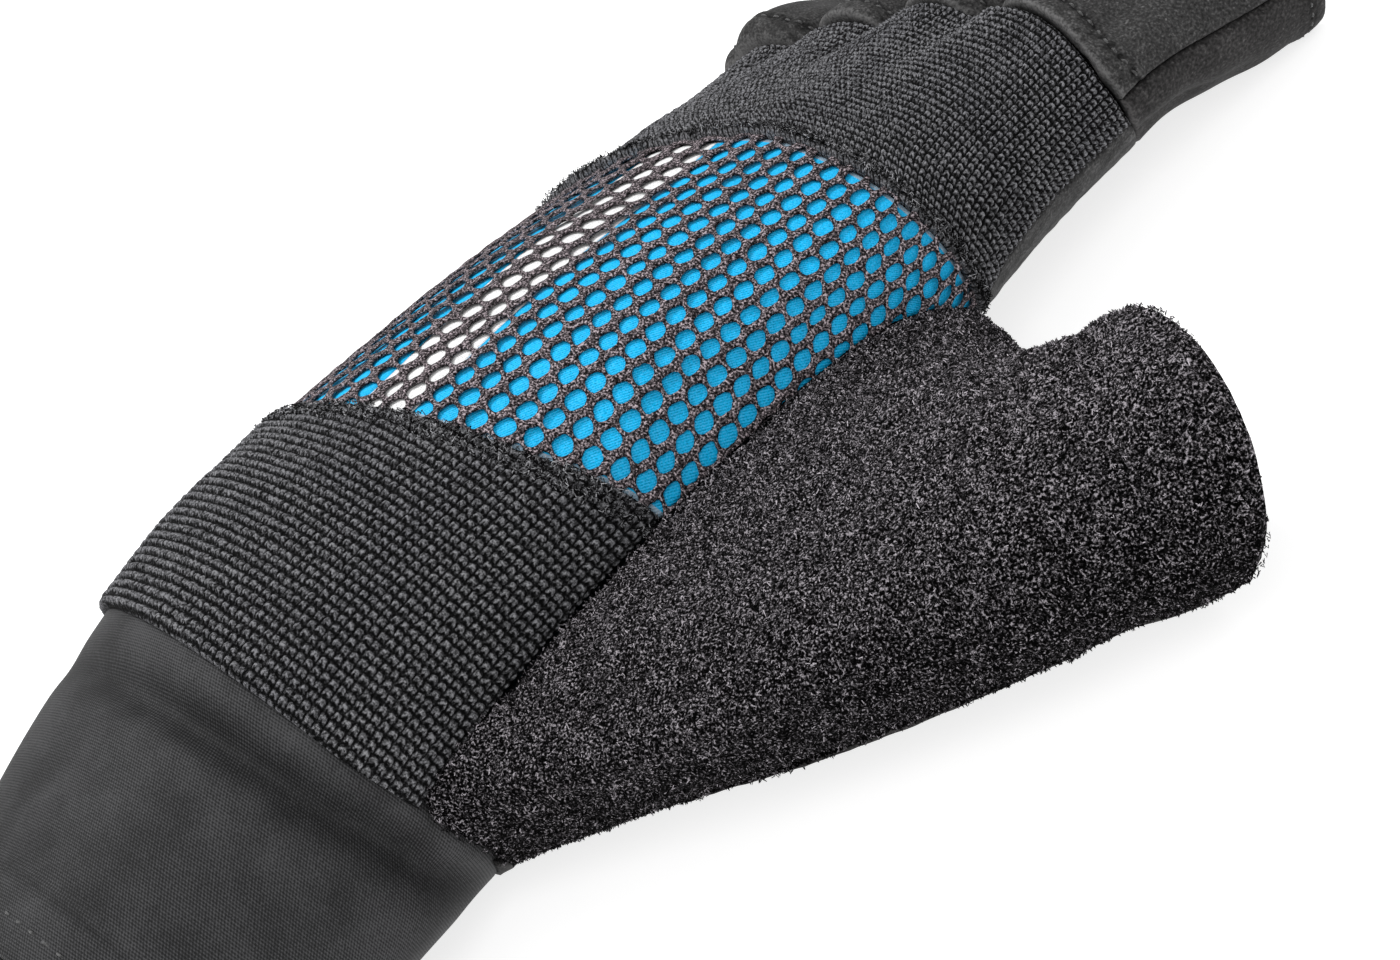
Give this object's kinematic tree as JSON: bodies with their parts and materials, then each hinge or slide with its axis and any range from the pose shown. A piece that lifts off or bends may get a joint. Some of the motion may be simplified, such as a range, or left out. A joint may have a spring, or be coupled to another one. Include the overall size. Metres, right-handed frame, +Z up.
{
  "type": "fitness glove",
  "caption": "Left-hand half-finger fitness glove with ribbed elastic bands, an open net over a blue lining on the back and a terry thumb, lying palm down.",
  "frame": {"origin": "on the floor under the heel of the palm, at the centre of the flat area that the glove rests on", "axes": "+X towards the thumb side, +Y from the wrist to the fingers, +Z up out of the back of the hand"},
  "size_m": [0.1573, 0.193, 0.0493],
  "materials": {
    "cuff_fabric": "smooth fine weave",
    "elastic": "ribbed woven elastic",
    "lining_blue": "satin twill",
    "lining_white": "satin twill",
    "net_yarn": "open knitted net",
    "terry": "looped towelling",
    "suede": "matt synthetic suede",
    "finger_fabric": "fine brushed fabric"
  },
  "bodies": {
    "root": {"cuff": "cuff_fabric", "wrist_band": "elastic", "back_lining": "lining_blue", "lining_stripe": "lining_white", "lining_edge": "lining_blue", "back_net": "net_yarn", "knuckle_band": "elastic", "thumb_terry": "terry", "thumb_front": "suede", "palm": "suede", "index_side": "suede", "index_back": "finger_fabric", "index_front": "suede", "middle_back": "finger_fabric", "middle_front": "suede", "ring_back": "finger_fabric", "ring_front": "suede", "little_back": "finger_fabric", "little_front": "suede"}
  },
  "joints": []
}
